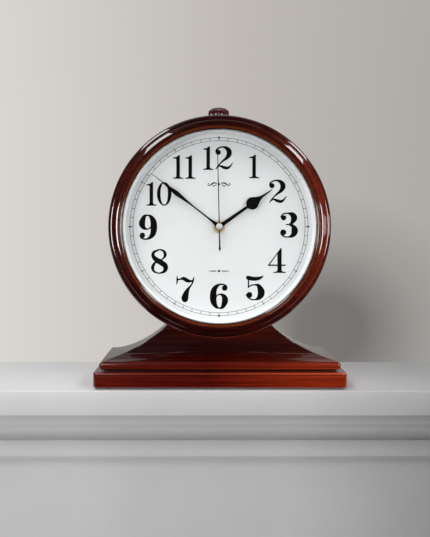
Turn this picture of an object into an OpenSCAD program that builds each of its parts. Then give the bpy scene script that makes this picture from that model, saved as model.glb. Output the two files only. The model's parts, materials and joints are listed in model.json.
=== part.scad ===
// Mantel clock in the form of a pocket watch on a coved pedestal, with a quartz movement.
// X runs to the right, Y to the back, Z up. The origin is the middle of the footprint on the surface.

/* [Plinth] */
// Width of the lower block
plinth_w = 250.4; // [250:0.1:256]
// Depth of the lower block
plinth_d = 82; // [80:1:86]
// Height of the feet under the plinth
foot_h = 1.6; // [1.4:0.1:2]
// Height of the top of the lower block
block_top = 16.4; // [15.5:0.1:17]
// Height of the underside of the upper moulding
groove_top = 18.8; // [18:0.1:19.5]
// Height of the top of the plinth
plinth_top = 25.3; // [25:0.1:26]
// Width of the upper moulding
moulding_w = 239.5; // [239:0.5:241]
// Depth of the upper moulding
moulding_d = 74; // [73:0.5:75]

/* [Pedestal] */
// Half width of the pedestal where it meets the plinth
pedestal_half_w = 117.6; // [117.5:0.1:118.5]
// Half depth of the pedestal where it meets the plinth
pedestal_half_d = 35.5; // [34:0.5:35.5]
// Radius of the hollow curve of the pedestal's sides
side_r = 125; // [124:0.5:126]
// Radius of the cove along the pedestal's front and back
cove_r = 19.7; // [19.5:0.1:20]

/* [Head] */
// Height of the dial's centre
head_z = 160.3; // [160:0.1:161]
// Outer radius of the bezel
bezel_r = 112; // [111.5:0.5:113]
// Outer radius of the drum behind the bezel
drum_r = 106; // [105.5:0.5:107]
// Depth of the drum's back edge
drum_back = 22; // [21:0.5:24]
// Radius of the bezel's inner lip
lip_r = 97.3; // [97:0.1:97.6]
// Thickness of the glass
glass_t = 2; // [1.5:0.1:2]
// Side of the square access window in the rear cover
window = 62; // [60:1:64]

/* [Crown] */
// Radius of the crown
crown_r = 11; // [10.5:0.1:11.5]
// Height of the crown's top
crown_top = 285.5; // [284:0.1:287]
// Height of the dome on top of the crown
crown_dome = 4.5; // [4:0.1:5]
// Number of flutes round the crown
flutes = 24; // [18:1:28]

/* [Hands] */
// Length of the hour hand
hour_len = 66.7; // [62:0.1:70]
// Length of the minute hand
minute_len = 88.1; // [82:0.1:89]
// Length of the second hand
second_len = 75; // [70:0.1:80]
// Direction of the hour hand, clockwise from 12
hour_dir = 55; // [0:0.5:360]
// Direction of the minute hand, clockwise from 12
minute_dir = 308; // [0:0.5:360]
// Direction of the second hand, clockwise from 12
second_dir = -1.3; // [-180:0.1:180]

/* [Movement] */
// Side of the square movement
move_w = 56; // [56:0.1:56.5]
// Thickness of the movement
move_t = 16; // [16:0.1:16.3]
// Thickness of the movement's walls
wall = 0.9; // [0.8:0.05:0.9]
// Diameter of the AA cell
cell_d = 14; // [13.6:0.1:14.1]
// Length of the AA cell over its terminals
cell_len = 50.5; // [49.5:0.1:50.5]

/* [Hidden] */
$fn = 96;

// Colours
WOOD = "#4a120c";
CREAM = "#ecece8";
INK = "#101010";
BRASS = "#c9a24a";
STEEL = "#b8babd";

// Depths along Y in the head, from the front to the back
bezel_front = -32;
glass_front = -24.5;
glass_back = glass_front + glass_t;
bezel_back = -16;
dial_front = -8;
dial_back = -7;
ledge_back = -4;
cover_front = drum_back - 4.5;
cover_back = drum_back - 2;
seat_r = lip_r + 2.3;
dial_r = 98.8;
bore_r = 99;
ledge_r = 95.5;
drum_wall = 2;
screw_ring = 101.4;
boss_ring = 97;

// Screws
screw_r = 1.5;
screw_head_r = 2.8;
screw_head_h = 1.1;

// The movement's front face, the depths of its layers behind it, and its arbors seen from the front
move_y = -6.4;
plate_t = [4, 4.7];
hour_wheel_t = [1.5, 2.5];
minute_t = [3, 3.8];
centre_t = [5, 5.8];
third_t = [7, 7.8];
seconds_t = [9, 9.8];
intermediate_t = [10.8, 11.6];
rotor_pinion_t = [10.5, 12];
magnet_t = [6.4, 9.4];
stator_t = [7.4, 8.2];
board_t = [9, 9.8];
third_angle = 135;
minute_work_angle = 20;
knob_angle = -5;
intermediate_angle = 70;
rotor_angle = 10;
pair_module = 0.25;
centre_module = 2 * 9 / (8 + 60);
rotor_module = 0.22;
cannon_module = 0.3;
hour_module = 0.32;
third_at = polar(spacing(8, 64, pair_module), third_angle);
intermediate_at = polar(spacing(12, 60, pair_module), intermediate_angle);
rotor_at = intermediate_at + polar(spacing(8, 48, rotor_module), rotor_angle);
minute_work_at = polar(spacing(16, 48, cannon_module), minute_work_angle);
knob_at = minute_work_at + polar(spacing(16, 48, cannon_module), knob_angle);
pillars = [for (x = [-24.5, 24.5]) for (z = [-9.8, 25]) [x, z]];
partition_z = -12.7;
cell_z = -19.9;
cell_t = 8.2;
coil_z = 21.6;
coil_t = 8.6;
run_fit = 0.07;

// Arbors and tubes
arbor_r = 0.4;
seconds_r = 0.5;
cannon_r = 1.75;
hour_tube_r = 2.5;
bushing_r = 4;
knob_shaft_r = 1.4;

// Depths of the hands
hour_y = [-12.8, -12.3];
minute_y = [-14.4, -13.9];
second_y = [-16.1, -15.8];

function polar(r, a) = r * [cos(a), sin(a)];
function spacing(n1, n2, m) = m * (n1 + n2) / 2;
function involute(a) = tan(a) * 180 / PI - a;
// Half the angle that a tooth spans at radius r, for a 20 degree involute tooth with backlash
function tooth_half(n, m, r) =
    0.2 * 360 / n + involute(20) - involute(acos(min(1, m * n / 2 * cos(20) / r)));
// Radii of a tooth's flank: root, base circle where it lies above the root, and tip
function flank(n, m) =
    let (root = m * n / 2 - 1.15 * m, base = m * n / 2 * cos(20), tip = m * n / 2 + 0.8 * m)
    root < base ? [root, base, tip] : [root, tip];
// Outline of a spur gear whose first tooth points along phase
function gear_outline(n, m, phase) =
    let (f = flank(n, m), last = len(f) - 1)
    [for (i = [0:n - 1]) for (side = [-1, 1]) for (j = [0:last])
        let (r = f[side < 0 ? j : last - j])
        polar(r, phase + i * 360 / n + side * tooth_half(n, m, r))];
// Phase that puts a gap of gear 2 on a tooth of gear 1, with gear 2 in direction dir from gear 1
function mate(phase1, n1, n2, dir) = dir + 180 + 180 / n2 - (phase1 - dir) * n1 / n2;

third_phase = mate(0, 8, 64, third_angle);
centre_phase = mate(0, 8, 60, third_angle + 180);
minute_work_phase = mate(0, 16, 48, minute_work_angle);
hour_phase = mate(0, 12, 48, minute_work_angle + 180);
knob_phase = mate(minute_work_phase, 48, 16, knob_angle);
intermediate_phase = mate(0, 60, 12, intermediate_angle);
rotor_phase = mate(0, 48, 8, rotor_angle);

// A flat outline, drawn as seen from the front, made solid between two depths
module slab(y0, y1) translate([0, y1, 0]) rotate([90, 0, 0]) linear_extrude(y1 - y0) children();
// A radius-depth outline turned about the axis of the head
module turned() translate([0, 0, head_z]) rotate([-90, 0, 0]) rotate_extrude() children();
// A round bar along Y on the head's axis, or at a point seen from the front
module bar_y(r, y0, y1, at = [0, 0])
    translate([at[0], y0, head_z + at[1]]) rotate([-90, 0, 0]) cylinder(r = r, h = y1 - y0);
// The same, with depths counted from the movement's front face
module bar_t(r, t0, t1, at = [0, 0]) bar_y(r, move_y + t0, move_y + t1, at);
module slab_t(t) translate([0, 0, head_z]) slab(move_y + t[0], move_y + t[1]) children();
module gear_t(n, m, t, phase, at = [0, 0])
    slab_t(t) translate(at) polygon(gear_outline(n, m, phase));
// A rectangle with round corners
module round_rect(w, h, r) {
    square([w - 2 * r, h], center = true);
    square([w, h - 2 * r], center = true);
    for (x = [-1, 1]) for (y = [-1, 1]) translate([x * (w / 2 - r), y * (h / 2 - r)]) circle(r = r);
}
// A block with round vertical corners and its top and bottom edges rounded
module moulded_block(w, d, z0, z1, corner, edge) {
    h = z1 - z0;
    intersection() {
        translate([0, 0, z0]) linear_extrude(h) round_rect(w, d, corner);
        translate([0, 0, z0 + h / 2]) slab(-d, d) round_rect(w, h, edge);
        translate([0, 0, z0 + h / 2]) rotate([0, 0, 90]) slab(-w, w) round_rect(d, h, edge);
    }
}
module block(x, y, z) translate([x[0], y[0], z[0]]) cube([x[1] - x[0], y[1] - y[0], z[1] - z[0]]);
module post(r, z0, z1, x, y) translate([x, y, z0]) cylinder(r = r, h = z1 - z0);
module four_corners(x, y) for (i = [-1, 1]) for (j = [-1, 1]) translate([i * x, j * y, 0]) children();
// A pan-head screw pointing up, with its cross recess
module screw_up(head_z0, head_h, length, r = screw_r, head = screw_head_r) {
    difference() {
        translate([0, 0, head_z0]) cylinder(r = head, h = head_h);
        for (a = [0, 90]) rotate([0, 0, a])
            translate([-head * 0.6, -0.3, head_z0 - 1]) cube([head * 1.2, 0.6, 1 + head_h / 2]);
    }
    translate([0, 0, head_z0 + head_h]) cylinder(r = r, h = length);
}
module screw_forward(at, y_head, head_h, length, head = 2.5)
    translate([at[0], y_head, head_z + at[1]]) rotate([90, 0, 0]) screw_up(-head_h, head_h, length,
        screw_r, head);

// Plinth and pedestal
plate_t1 = foot_h + 2.5;
plate_screws = [for (x = [-85, 0, 85]) for (y = [-31, 31]) [x, y]];
pedestal_screw_at = [80, 12];
head_screw_x = 20;
head_screw_r = 1.75;
saddle_z = 51.3;
neck_half_d = pedestal_half_d - cove_r;
side_centre = [141.3, 148.9];
cove_z = plinth_top + 1.2 + cove_r;
skin = 3;

module plinth() color(WOOD) difference() {
    union() {
        moulded_block(plinth_w, plinth_d, foot_h, block_top, 5, 1.6);
        block([-117, 117], [-34.5, 34.5], [block_top - 2, groove_top + 2]);
        moulded_block(moulding_w, moulding_d, groove_top, plinth_top, 3.2, 2.4);
    }
    difference() {
        block([-122, 122], [-37, 37], [foot_h - 1, block_top - 3]);
        for (p = plate_screws) post(4, plate_t1, block_top, p[0], p[1]);
    }
    block([-113, 113], [-31, 31], [block_top - 4, plinth_top - 3]);
    for (p = plate_screws) post(screw_r, 0, 12.5, p[0], p[1]);
    four_corners(pedestal_screw_at[0], pedestal_screw_at[1])
        cylinder(r = screw_r + 0.1, h = plinth_top + 1);
}

// The pedestal's outer form, or its hollow when inset by the skin
module pedestal_form(inset) intersection() {
    slab(-60, 60) difference() {
        translate([-pedestal_half_w + inset, plinth_top])
            square([2 * (pedestal_half_w - inset), 75 - plinth_top]);
        for (s = [-1, 1]) translate([s * side_centre[0], side_centre[1]]) circle(r = side_r + inset);
    }
    rotate([0, 0, 90]) slab(-130, 130) difference() {
        translate([-pedestal_half_d + inset, plinth_top])
            square([2 * (pedestal_half_d - inset), 75 - plinth_top]);
        for (s = [-1, 1]) {
            translate([s * pedestal_half_d, cove_z]) circle(r = cove_r + inset);
            translate([s * (neck_half_d - inset + 20), cove_z + 20]) square(40, center = true);
        }
    }
}

module pedestal() color(WOOD) difference() {
    union() {
        difference() {
            pedestal_form(0);
            difference() {
                translate([0, 0, -0.01]) pedestal_form(skin);
                bar_y(drum_r + skin, -60, 60);
            }
        }
        four_corners(pedestal_screw_at[0], pedestal_screw_at[1])
            translate([0, 0, plinth_top]) cylinder(r = 4, h = 12);
        for (x = [-head_screw_x, head_screw_x]) post(5, saddle_z, 58, x, 0);
    }
    bar_y(drum_r, -60, 60);
    four_corners(pedestal_screw_at[0], pedestal_screw_at[1]) cylinder(r = screw_r, h = 33);
    for (x = [-head_screw_x, head_screw_x]) post(head_screw_r, 40, 70, x, 0);
}

module base_plate() color("#3a3a3c") difference() {
    translate([0, 0, foot_h]) linear_extrude(2.5) round_rect(243, 73, 3);
    for (p = plate_screws) post(screw_r + 0.1, 0, 10, p[0], p[1]);
}

module base_screws() color(STEEL) for (p = plate_screws)
    translate([p[0], p[1], 0]) screw_up(foot_h - screw_head_h, screw_head_h, 10);

module feet() color("#202022") four_corners(111, 27) cylinder(r = 8, h = foot_h);

module pedestal_screws() color(STEEL) four_corners(pedestal_screw_at[0], pedestal_screw_at[1])
    screw_up(plinth_top - 3 - screw_head_h, screw_head_h, 9.5);

module head_screws() color(STEEL) for (x = [-head_screw_x, head_screw_x])
    translate([x, 0, 0]) screw_up(saddle_z - 2.8, 2, 10.5, head_screw_r, 3.2);

module head_washers() color(STEEL) for (x = [-head_screw_x, head_screw_x]) difference() {
    post(4.5, saddle_z - 0.8, saddle_z, x, 0);
    post(head_screw_r, saddle_z - 2, saddle_z + 1, x, 0);
}

// Head
broad_r = 7.5;
rear_bosses = [for (a = [45:90:315]) polar(boss_ring, a)];
bezel_screw_at = [for (a = [0:90:270]) polar(screw_ring, a + 15)];
collar_y = 2;
collar_top = 270.5;
crown_base = collar_top + 0.1;
dome_r = (crown_r * crown_r + crown_dome * crown_dome) / (2 * crown_dome);
well_y = 10.2;
pad_z = 263.2;

module bezel() color(WOOD) difference() {
    turned() difference() {
        union() {
            // the outer roll, the band behind it, the broad inner roll, and the bead on the glass's lip
            translate([bezel_r - 4.2, bezel_front + 6.2]) circle(r = 4.2);
            translate([seat_r, bezel_front + 7]) square([bezel_r - seat_r, bezel_back - bezel_front - 7]);
            intersection() {
                translate([lip_r + 4.3, bezel_front + broad_r]) circle(r = broad_r);
                translate([lip_r + 3, bezel_front]) square([8, broad_r]);
            }
            translate([lip_r + 1.7, bezel_front + 3.3]) circle(r = 1.6);
            translate([lip_r, bezel_front + 3.3]) square([4, glass_front - bezel_front - 3.3]);
        }
        translate([0, glass_front]) square([seat_r, 20]);
    }
    for (p = bezel_screw_at) bar_y(screw_r, bezel_back - 6, bezel_back + 1, p);
}

module lens() color("#cfe0e4", 0.25) bar_y(seat_r - 0.2, glass_front, glass_back);

module lens_gasket() color("#18181a") turned()
    translate([lip_r + 0.3, glass_back]) square([seat_r - 0.2 - lip_r - 0.3, 0.5]);

// The pale conical ring between the glass and the dial
module dial_surround() color(CREAM) turned() polygon([
    [lip_r, glass_back + 0.5], [seat_r - 0.2, glass_back + 0.5], [seat_r - 0.2, glass_back + 1.7],
    [seat_r - 0.8, glass_back + 1.7], [98.2, dial_front], [96.6, dial_front]
]);

module dial() color(CREAM) difference() {
    bar_y(dial_r, dial_front, dial_back);
    bar_y(bushing_r, dial_front - 1, dial_back + 1);
}

module drum() color(WOOD) difference() {
    union() {
        turned() {
            difference() {
                translate([ledge_r, bezel_back]) square([drum_r - ledge_r, ledge_back - bezel_back]);
                translate([0, bezel_back - 1]) square([bore_r, dial_back - bezel_back + 1]);
            }
            translate([drum_r - drum_wall, ledge_back - 1])
                square([drum_wall, drum_back - drum_wall - ledge_back + 1]);
            translate([drum_r - drum_wall, drum_back - drum_wall])
                intersection() { circle(r = drum_wall); square(drum_wall); }
        }
        for (p = rear_bosses) intersection() {
            bar_y(4.5, ledge_back - 1, cover_front, p);
            bar_y(drum_r - 1, ledge_back - 2, cover_front + 1);
        }
        intersection() {
            union() {
                for (x = [-head_screw_x, head_screw_x]) post(4.5, 50, 62, x, 0);
                post(5, pad_z, 267, 0, collar_y);
            }
            bar_y(drum_r - 1, -10, 10);
        }
        post(7.5, head_z + drum_r - drum_wall + 0.3, collar_top, 0, collar_y);
    }
    post(screw_r + 0.08, 250, collar_top + 1, 0, collar_y);
    for (x = [-head_screw_x, head_screw_x]) post(head_screw_r, 40, 61.5, x, 0);
    for (p = rear_bosses) bar_y(screw_r, cover_front - 9, cover_front + 1, p);
    for (p = bezel_screw_at) bar_y(screw_r + 0.1, bezel_back - 1, ledge_back + 1, p);
}

module rear_cover() color("#2b2b2d") difference() {
    union() {
        bar_y(drum_r - drum_wall - 0.1, cover_front, cover_back);
        translate([0, 0, head_z]) slab(well_y, cover_front + 1) round_rect(window + 4, window + 4, 3);
    }
    translate([0, 0, head_z]) slab(well_y - 1, cover_back + 1) round_rect(window, window, 1.5);
    for (p = rear_bosses) bar_y(screw_r + 0.1, cover_front - 1, cover_back + 1, p);
}

module rear_screws() color(STEEL) for (p = rear_bosses)
    screw_forward(p, cover_back, 1.8, 10, 3);

module bezel_screws() color(STEEL) for (p = bezel_screw_at)
    screw_forward(p, ledge_back, 1.8, 17.5);

// The winding crown, an ornament that turns on its screw
module crown() color(WOOD) translate([0, collar_y, 0]) difference() {
    rotate_extrude() {
        translate([0, crown_base]) square([6.5, 2]);
        translate([0, crown_base + 1.4]) square([crown_r, crown_top - crown_dome - crown_base - 1.4]);
        intersection() {
            translate([0, crown_top - dome_r]) circle(r = dome_r);
            translate([0, crown_top - crown_dome - 0.5]) square([crown_r, crown_dome + 0.5]);
        }
    }
    for (i = [0:flutes - 1]) rotate([0, 0, i * 360 / flutes])
        translate([crown_r + 0.15, 0, crown_base]) cylinder(r = 0.75, h = crown_top - crown_base);
    cylinder(r = screw_r, h = crown_top - 4);
}

module crown_screw() color(STEEL) translate([0, collar_y, 0])
    screw_up(pad_z - 2.6, 1.7, 15, screw_r, 3);

module crown_washer() color(BRASS) difference() {
    post(4, pad_z - 0.8, pad_z - 0.1, 0, collar_y);
    post(screw_r + 0.08, pad_z - 2, pad_z + 1, 0, collar_y);
}

// Movement: the fixed pieces
inner = move_w / 2 - wall;
case_split_t = 10;

module movement_front_case() color("#1d1d1f") difference() {
    slab_t([0, case_split_t]) square(move_w, center = true);
    difference() {
        slab_t([1, case_split_t + 1]) square(2 * inner, center = true);
        slab_t([0, case_split_t + 2]) translate([-move_w / 2, partition_z]) square([move_w, 0.8]);
        for (p = pillars) bar_t(1.5, 0.5, plate_t[0], p);
        bar_t(1.2, 0.5, hour_wheel_t[0] - 0.1, minute_work_at);
        bar_t(1.6, 0.5, minute_t[0] - 0.2, knob_at);
    }
    // opening along the floor, to push the cell out
    translate([0, 0, head_z]) slab(move_y + 6, move_y + case_split_t + 1)
        translate([-inner, -move_w / 2 - 1]) square([2 * inner, wall + 1]);
    bar_t(bushing_r, -1, 2);
    bar_t(seconds_r + run_fit, 0.4, 3, minute_work_at);
    bar_t(0.7 + run_fit, 0.4, 3, knob_at);
}

module movement_back_case() color("#26262a") difference() {
    slab_t([case_split_t, move_t])
        translate([-move_w / 2, partition_z]) square([move_w, move_w / 2 - partition_z]);
    difference() {
        slab_t([case_split_t - 1, move_t - 1])
            translate([-inner, partition_z + 0.8]) square([2 * inner, inner - partition_z - 0.8]);
        for (p = pillars) bar_t(1.5, case_split_t - 1, move_t, p);
        bar_t(1.5, 12.6, move_t);
        for (p = [third_at, intermediate_at, rotor_at]) bar_t(1.2, 12.6, move_t, p);
    }
    bar_t(seconds_r + run_fit, 12, 14.8);
    for (p = [third_at, intermediate_at, rotor_at]) bar_t(arbor_r + run_fit, 12, 14.4, p);
    bar_t(knob_shaft_r + run_fit, 14, move_t + 1, knob_at);
}

module middle_plate() color("#d8d4c4") difference() {
    union() {
        slab_t(plate_t) {
            translate([-inner + 0.3, partition_z + 1]) square([2 * inner - 0.6, 28]);
            for (x = [-1, 1]) translate([x * 23.6 - 3.2, 10]) square([6.4, 16.8]);
        }
        for (p = pillars) bar_t(1.5, plate_t[0], case_split_t, p);
        for (z = [-5, 13]) bar_t(1.1, plate_t[0], board_t[0], [-23.5, z]);
    }
    bar_t(cannon_r + run_fit, 3, 6);
    bar_t(seconds_r + run_fit, 3, 6, minute_work_at);
    for (p = [third_at, intermediate_at, rotor_at]) bar_t(arbor_r + run_fit, 3, 6, p);
    bar_t(knob_shaft_r + run_fit, 3, 6, knob_at);
}

module stator() color(STEEL) slab_t(stator_t) difference() {
    union() {
        translate([-17, 15.2]) square([rotor_at[0] + 17, 1.8]);
        translate([-17, 15.2]) square([4, 9]);
        translate(rotor_at) square([7.5, 7.5], center = true);
        translate([rotor_at[0] - 3.75, rotor_at[1]]) square([3.2, 17 - rotor_at[1]]);
        translate([rotor_at[0] + 0.35, rotor_at[1]]) square([3.4, 5]);
        translate([rotor_at[0] + 0.35, rotor_at[1] + 1.5]) square([17.5 - rotor_at[0], 3.5]);
        translate([13.5, rotor_at[1] + 1.5]) square([4.35, 24.2 - rotor_at[1] - 1.5]);
    }
    translate(rotor_at) circle(r = 3);
    translate([rotor_at[0] - 0.55, rotor_at[1]]) square([0.9, 6.2]);
}

module coil_core() color(STEEL) translate([0, move_y + stator_t[1], head_z + coil_z - 0.9])
    translate([-16.5, 0, 0]) cube([33, 0.8, 1.8]);

module coil_bobbin() color("#e6e0d0") difference() {
    union() {
        translate([-11.2, move_y + coil_t, head_z + coil_z]) rotate([0, 90, 0]) cylinder(r = 1.9, h = 22.4);
        for (x = [-11.2, 10.4]) translate([x, move_y + coil_t - 4.2, head_z + coil_z - 4.2])
            cube([0.8, 8.4, 8.4]);
    }
    translate([-17, move_y + stator_t[1], head_z + coil_z - 0.9]) cube([34, 0.8, 1.8]);
}

module coil_winding() color("#b06a35") translate([-10.4, move_y + coil_t, head_z + coil_z])
    rotate([0, 90, 0]) difference() {
        cylinder(r = 3.9, h = 20.8);
        translate([0, 0, -1]) cylinder(r = 1.9, h = 23);
    }

module circuit_board() color("#b48a4a") slab_t(board_t) translate([-26.2, -7.5]) square([10.4, 22.5]);

module timer_chip() color("#151515") bar_t(3, board_t[1], board_t[1] + 1, [-21.5, 5]);

module quartz_crystal() color(STEEL)
    translate([-17.6, move_y + board_t[1] + 1, head_z - 5]) cylinder(r = 1, h = 6);

module contact_positive() color(STEEL) slab_t([3, 13]) union() {
    translate([cell_len / 2 + 0.1, cell_z - 4]) square([0.5, 8]);
    translate([cell_len / 2 + 0.1, cell_z + 3.5]) square([inner - cell_len / 2 - 0.1, 0.5]);
}

module contact_negative() color(STEEL) {
    slab_t([3, 13]) translate([-inner, cell_z - 4]) square([0.4, 8]);
    translate([-inner + 0.3, move_y + cell_t, head_z + cell_z]) rotate([0, 90, 0])
        cylinder(r1 = 3.2, r2 = 1.6, h = inner - 0.3 - cell_len / 2);
}

module threaded_bushing() color(BRASS) difference() {
    union() {
        bar_y(bushing_r, -11.6, move_y + 1);
        bar_t(5.5, 1, 1.35);
    }
    bar_y(hour_tube_r + run_fit, -12, move_y + 2);
}

module mounting_nut() color(BRASS) difference() {
    bar_y(5.45, -10.2, -8.4);
    bar_y(bushing_r, -11, -8);
    // two slots for the key
    translate([0, 0, head_z]) slab(-10.5, -9.4) square([14, 1.6], center = true);
}

module dial_washer() color(BRASS) difference() {
    bar_y(6.6, -8.4, dial_front);
    bar_y(bushing_r, -9, dial_front + 1);
}

module movement_gasket() color("#1a1a1a") difference() {
    bar_y(9, dial_back, move_y);
    bar_y(bushing_r, dial_back - 1, move_y + 1);
}

// Movement: the train, from the stepping rotor to the hands
module rotor_magnet() color("#55585c") difference() {
    bar_t(2.6, magnet_t[0], magnet_t[1], rotor_at);
    bar_t(arbor_r, 0, 20, rotor_at);
}

module rotor_pinion() color(CREAM) {
    bar_t(arbor_r, plate_t[0] + 0.1, 14.3, rotor_at);
    gear_t(8, rotor_module, rotor_pinion_t, rotor_phase, rotor_at);
}

module intermediate_wheel() color(CREAM) {
    bar_t(arbor_r, plate_t[0] + 0.1, 14.3, intermediate_at);
    gear_t(12, pair_module, [seconds_t[0] - 0.2, intermediate_t[0]], intermediate_phase, intermediate_at);
    gear_t(48, rotor_module, intermediate_t, 0, intermediate_at);
}

module seconds_wheel() color(CREAM) {
    bar_y(seconds_r, second_y[0] - 0.3, move_y + 14.7);
    gear_t(8, pair_module, [third_t[0] - 0.1, seconds_t[0]], 0);
    gear_t(60, pair_module, seconds_t, 0);
}

module third_wheel() color(CREAM) {
    bar_t(arbor_r, plate_t[0] + 0.1, 14.3, third_at);
    gear_t(8, centre_module, [centre_t[0] - 0.1, third_t[0]], 0, third_at);
    gear_t(64, pair_module, third_t, third_phase, third_at);
}

module centre_wheel() color(CREAM) difference() {
    gear_t(60, centre_module, centre_t, centre_phase);
    bar_t(cannon_r, 4, 7);
}

// The spring washer that lets the hands slip when they are set
module clutch_spring() color(STEEL) difference() {
    bar_t(3.4, centre_t[1], centre_t[1] + 0.3);
    bar_t(cannon_r, 4, 8);
}

module cannon_pinion() color(CREAM) difference() {
    union() {
        bar_y(cannon_r, minute_y[0] - 0.4, move_y + centre_t[1] + 0.6);
        gear_t(16, cannon_module, minute_t, minute_work_angle);
    }
    bar_y(seconds_r + run_fit, -20, 10);
}

module minute_work_wheel() color(CREAM) {
    bar_t(seconds_r, 0.6, plate_t[1] - 0.1, minute_work_at);
    gear_t(12, hour_module, [hour_wheel_t[0], minute_t[0]], 0, minute_work_at);
    gear_t(48, cannon_module, minute_t, minute_work_phase, minute_work_at);
}

module hour_wheel() color(CREAM) difference() {
    union() {
        bar_y(hour_tube_r, hour_y[0] - 0.4, move_y + hour_wheel_t[1]);
        gear_t(48, hour_module, hour_wheel_t, hour_phase);
    }
    bar_y(cannon_r + run_fit, -20, 10);
}

module setting_knob() color("#2e2e32") {
    bar_t(0.7, 0.6, minute_t[0] + 0.2, knob_at);
    gear_t(16, cannon_module, minute_t, knob_phase, knob_at);
    bar_t(knob_shaft_r, minute_t[1], move_t + 0.8, knob_at);
    difference() {
        bar_t(5.5, move_t + 0.6, move_t + 3, knob_at);
        for (a = [0:20:340]) bar_t(0.5, move_t, move_t + 4, knob_at + polar(5.6, a));
    }
}

// Hands, drawn pointing to 12 and turned to their places
module pointing(dir) translate([0, 0, head_z]) rotate([0, dir, 0]) children();
// Both sides of an outline given as [distance from the axis, half width]
function both_sides(side) = concat(
    [for (p = side) [p[1], p[0]]],
    [for (i = [len(side) - 1:-1:0]) [-side[i][1], side[i][0]]]);
// Stations of a side that swells ever faster from one half width to another
function swell(r0, w0, r1, w1, power, steps = 8) =
    [for (i = [0:steps]) [r0 + (r1 - r0) * i / steps, w0 + (w1 - w0) * pow(i / steps, power)]];
// Stations of a side that narrows ever more slowly
function taper(r0, w0, r1, w1, power, steps = 8) =
    [for (i = [0:steps]) [r0 + (r1 - r0) * i / steps, w1 + (w0 - w1) * pow(1 - i / steps, power)]];

hour_disc = 0.625 * hour_len;
hour_disc_r = 6.45;

module hour_hand() color(INK) pointing(hour_dir) difference() {
    union() {
        slab(hour_y[0], hour_y[1]) {
            polygon(both_sides([[0, 2.15], [hour_disc - 6, 1.35]]));
            translate([0, hour_disc]) circle(r = hour_disc_r);
            polygon(both_sides(concat([[hour_disc, 1.2]],
                taper(hour_disc + 3.4, 5.45, hour_disc + 14, 1.2, 1.8), [[hour_len, 0.3]])));
            circle(r = 4.2);
        }
        slab(hour_y[0] - 0.3, hour_y[1] + 0.3) circle(r = 3.4);
    }
    slab(-20, 0) circle(r = hour_tube_r);
}

module minute_hand() color(INK) pointing(minute_dir) difference() {
    union() {
        slab(minute_y[0], minute_y[1]) {
            polygon(both_sides(concat(taper(0, 3, 0.22 * minute_len, 0.75, 2.2),
                swell(0.37 * minute_len, 0.75, 0.63 * minute_len, 2.5, 1.45),
                [[0.84 * minute_len, 0.45], [minute_len, 0.25]])));
            circle(r = 4);
        }
        slab(minute_y[0] - 0.3, minute_y[1] + 0.3) circle(r = 3);
    }
    slab(-20, 0) circle(r = cannon_r);
}

module second_hand() color(INK) pointing(second_dir) difference() {
    union() {
        slab(second_y[0], second_y[1]) {
            polygon(both_sides([[-0.335 * second_len, 0.1], [-0.305 * second_len, 1.25],
                [-0.28 * second_len, 0.85], [-0.09 * second_len, 0.55], [0, 0.8],
                [0.12 * second_len, 0.52], [second_len, 0.4]]));
            circle(r = 2.4);
        }
        slab(second_y[0], second_y[1] + 0.5) circle(r = 1.2);
    }
    slab(-20, 0) circle(r = seconds_r);
}

module second_hand_cap() color("#d6d8da") difference() {
    turned() intersection() {
        translate([0, second_y[0] + 3.1]) circle(r = 4.6);
        translate([0, second_y[0] - 2]) square([3.4, 2]);
    }
    bar_y(seconds_r, second_y[0] - 0.3, 0);
}

// The AA cell, lying across the foot of the movement
module cell_bar(r, x0, x1) translate([x0, move_y + cell_t, head_z + cell_z]) rotate([0, 90, 0])
    cylinder(r = r, h = x1 - x0);

module battery_can() color(STEEL) {
    cell_bar(cell_d / 2 - 0.15, -cell_len / 2 + 0.3, cell_len / 2 - 1.3);
    cell_bar(cell_d / 2 - 1.5, -cell_len / 2, 0);
}

module battery_sleeve() color("#3b6f5c") difference() {
    cell_bar(cell_d / 2, -cell_len / 2 + 0.6, cell_len / 2 - 1.4);
    cell_bar(cell_d / 2 - 0.15, -cell_len, cell_len);
}

module battery_terminal() color(STEEL) {
    cell_bar(cell_d / 2 - 2.2, cell_len / 2 - 1.3, cell_len / 2 - 1);
    cell_bar(2.75, cell_len / 2 - 1.1, cell_len / 2);
}

plinth();
pedestal();
base_plate();
base_screws();
feet();
pedestal_screws();
head_screws();
head_washers();
bezel();
lens();
lens_gasket();
dial_surround();
dial();
drum();
rear_cover();
rear_screws();
bezel_screws();
crown();
crown_screw();
crown_washer();
movement_front_case();
movement_back_case();
middle_plate();
stator();
coil_core();
coil_bobbin();
coil_winding();
circuit_board();
timer_chip();
quartz_crystal();
contact_positive();
contact_negative();
threaded_bushing();
mounting_nut();
dial_washer();
movement_gasket();
rotor_magnet();
rotor_pinion();
intermediate_wheel();
seconds_wheel();
second_hand();
second_hand_cap();
third_wheel();
centre_wheel();
clutch_spring();
cannon_pinion();
minute_hand();
minute_work_wheel();
hour_wheel();
hour_hand();
setting_knob();
battery_can();
battery_sleeve();
battery_terminal();
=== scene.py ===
"""Looks, light and camera for a mantel clock with a quartz movement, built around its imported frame.

The lacquered case is rebuilt as fine meshes in the places that the frame gives, the dial gets its
printed track and numerals, and every part of the frame gets a procedural finish. Lengths are in
metres.
"""
import json
import math

import bmesh
import bpy
import numpy as np
from mathutils import Matrix, Vector


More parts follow.
